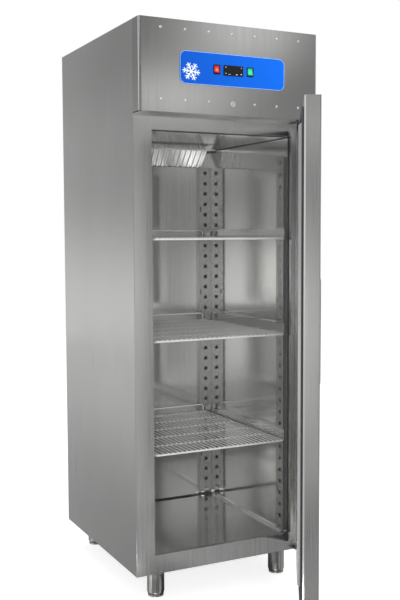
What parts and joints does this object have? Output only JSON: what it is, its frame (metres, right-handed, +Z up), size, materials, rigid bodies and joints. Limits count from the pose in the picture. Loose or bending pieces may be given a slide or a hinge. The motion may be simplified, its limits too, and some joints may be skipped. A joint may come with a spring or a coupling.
{
  "type": "commercial upright freezer",
  "caption": "Tall stainless steel upright freezer with one hinged door, wire shelves on runners, a blue control panel in a screwed hood and adjustable legs.",
  "frame": {"origin": "on the floor, at the centre of the four feet", "axes": "+X to the right seen from the front, +Y from the front to the back, +Z up"},
  "size_m": [0.701, 1.3827, 2.01],
  "materials": {
    "outer_steel": "satin",
    "polished_steel": "polished",
    "galvanised": "satin",
    "foam": "matte",
    "black_plastic": "gloss",
    "grey_gasket": "matte",
    "blue_overlay": "gloss",
    "red_lens": "gloss",
    "green_lens": "gloss",
    "key_plastic": "matte",
    "bright_steel": "polished",
    "black_paint": "gloss",
    "aluminium_fins": "satin",
    "copper_tube": "satin",
    "grey_plastic": "matte"
  },
  "bodies": {
    "cabinet": {"side_panel_left": "outer_steel", "side_panel_right": "outer_steel", "rear_panel": "galvanised", "rear_grille": "galvanised", "cable_gland": "grey_plastic", "base_pan": "galvanised", "compartment_deck": "galvanised", "front_frame": "outer_steel", "cabinet_insulation": "foam", "inner_liner": "polished_steel", "leg_tubes": "polished_steel", "hood_panel": "outer_steel", "hood_screws": "bright_steel", "control_overlay": "blue_overlay", "controller_body": "black_plastic", "red_switch_body": "black_plastic", "green_switch_body": "black_plastic", "lock_housing": "bright_steel", "top_hinge_plate": "galvanised", "bottom_hinge_plate": "galvanised", "hinge_pins": "bright_steel", "front_uprights": "polished_steel", "rear_uprights": "polished_steel", "duct_panel": "polished_steel", "air_deflector": "polished_steel", "return_grille": "polished_steel", "upper_runners": "polished_steel", "middle_runners": "polished_steel", "lower_runners": "polished_steel", "unit_base": "galvanised", "compressor": "black_paint", "condenser_coil": "aluminium_fins", "condenser_fan_shroud": "galvanised", "evaporator_housing": "grey_plastic", "evaporator_coil": "aluminium_fins", "evaporator_fan_shroud": "galvanised", "electrical_box": "grey_plastic", "refrigerant_pipes": "copper_tube"},
    "door": {"door_skin": "outer_steel", "door_insulation": "foam", "door_inner_panel": "polished_steel", "door_gasket": "grey_gasket", "door_grip": "black_plastic", "hinge_bushes": "grey_plastic"},
    "upper_shelf": {"upper_shelf": "bright_steel"},
    "middle_shelf": {"middle_shelf": "bright_steel"},
    "lower_shelf": {"lower_shelf": "bright_steel"},
    "red_rocker": {"red_rocker": "red_lens"},
    "green_rocker": {"green_rocker": "green_lens"},
    "key_upper_left": {"key_upper_left": "key_plastic"},
    "key_upper_right": {"key_upper_right": "key_plastic"},
    "key_lower_left": {"key_lower_left": "key_plastic"},
    "key_lower_right": {"key_lower_right": "key_plastic"},
    "lock_cylinder": {"lock_cylinder": "bright_steel"},
    "condenser_fan": {"condenser_fan": "black_plastic"},
    "evaporator_fan": {"evaporator_fan": "black_plastic"},
    "foot_front_left": {"foot_front_left": "bright_steel"},
    "foot_front_right": {"foot_front_right": "bright_steel"},
    "foot_rear_left": {"foot_rear_left": "bright_steel"},
    "foot_rear_right": {"foot_rear_right": "bright_steel"}
  },
  "joints": [
    {"name": "door_hinge", "type": "hinge", "parent": "cabinet", "child": "door", "pos_m": [0.328, -0.412, 0.11], "axis": [0, 0, 1], "range_deg": [-58.3, 51.7]},
    {"name": "upper_shelf_slide", "type": "slide", "parent": "cabinet", "child": "upper_shelf", "axis": [0, -1, 0], "range_m": [0, 0.08]},
    {"name": "middle_shelf_slide", "type": "slide", "parent": "cabinet", "child": "middle_shelf", "axis": [0, -1, 0], "range_m": [0, 0.08]},
    {"name": "lower_shelf_slide", "type": "slide", "parent": "cabinet", "child": "lower_shelf", "axis": [0, -1, 0], "range_m": [0, 0.08]},
    {"name": "red_rocker_tilt", "type": "hinge", "parent": "cabinet", "child": "red_rocker", "pos_m": [-0.061, -0.424, 1.8554], "axis": [1, 0, 0], "range_deg": [0, 16]},
    {"name": "green_rocker_tilt", "type": "hinge", "parent": "cabinet", "child": "green_rocker", "pos_m": [0.0703, -0.424, 1.8554], "axis": [1, 0, 0], "range_deg": [0, 16]},
    {"name": "key_upper_left_press", "type": "slide", "parent": "cabinet", "child": "key_upper_left", "axis": [0, 1, 0], "range_m": [0, 0.0005], "stiffness_N_per_m": 1500, "springref_m": -0.0004},
    {"name": "key_upper_right_press", "type": "slide", "parent": "cabinet", "child": "key_upper_right", "axis": [0, 1, 0], "range_m": [0, 0.0005], "stiffness_N_per_m": 1500, "springref_m": -0.0004},
    {"name": "key_lower_left_press", "type": "slide", "parent": "cabinet", "child": "key_lower_left", "axis": [0, 1, 0], "range_m": [0, 0.0005], "stiffness_N_per_m": 1500, "springref_m": -0.0004},
    {"name": "key_lower_right_press", "type": "slide", "parent": "cabinet", "child": "key_lower_right", "axis": [0, 1, 0], "range_m": [0, 0.0005], "stiffness_N_per_m": 1500, "springref_m": -0.0004},
    {"name": "lock_turn", "type": "hinge", "parent": "cabinet", "child": "lock_cylinder", "pos_m": [0.0025, -0.4065, 1.741], "axis": [0, 1, 0], "range_deg": [0, 90]},
    {"name": "condenser_fan_spin", "type": "hinge", "parent": "cabinet", "child": "condenser_fan", "pos_m": [0.13, -0.215, 1.858], "axis": [0, 1, 0], "continuous": true},
    {"name": "evaporator_fan_spin", "type": "hinge", "parent": "cabinet", "child": "evaporator_fan", "pos_m": [0, 0.205, 1.853], "axis": [0, 1, 0], "continuous": true},
    {"name": "foot_front_left_screw", "type": "slide", "parent": "cabinet", "child": "foot_front_left", "axis": [0, 0, -1], "range_m": [0, 0.03]},
    {"name": "foot_front_right_screw", "type": "slide", "parent": "cabinet", "child": "foot_front_right", "axis": [0, 0, -1], "range_m": [0, 0.03]},
    {"name": "foot_rear_left_screw", "type": "slide", "parent": "cabinet", "child": "foot_rear_left", "axis": [0, 0, -1], "range_m": [0, 0.03]},
    {"name": "foot_rear_right_screw", "type": "slide", "parent": "cabinet", "child": "foot_rear_right", "axis": [0, 0, -1], "range_m": [0, 0.03]}
  ]
}
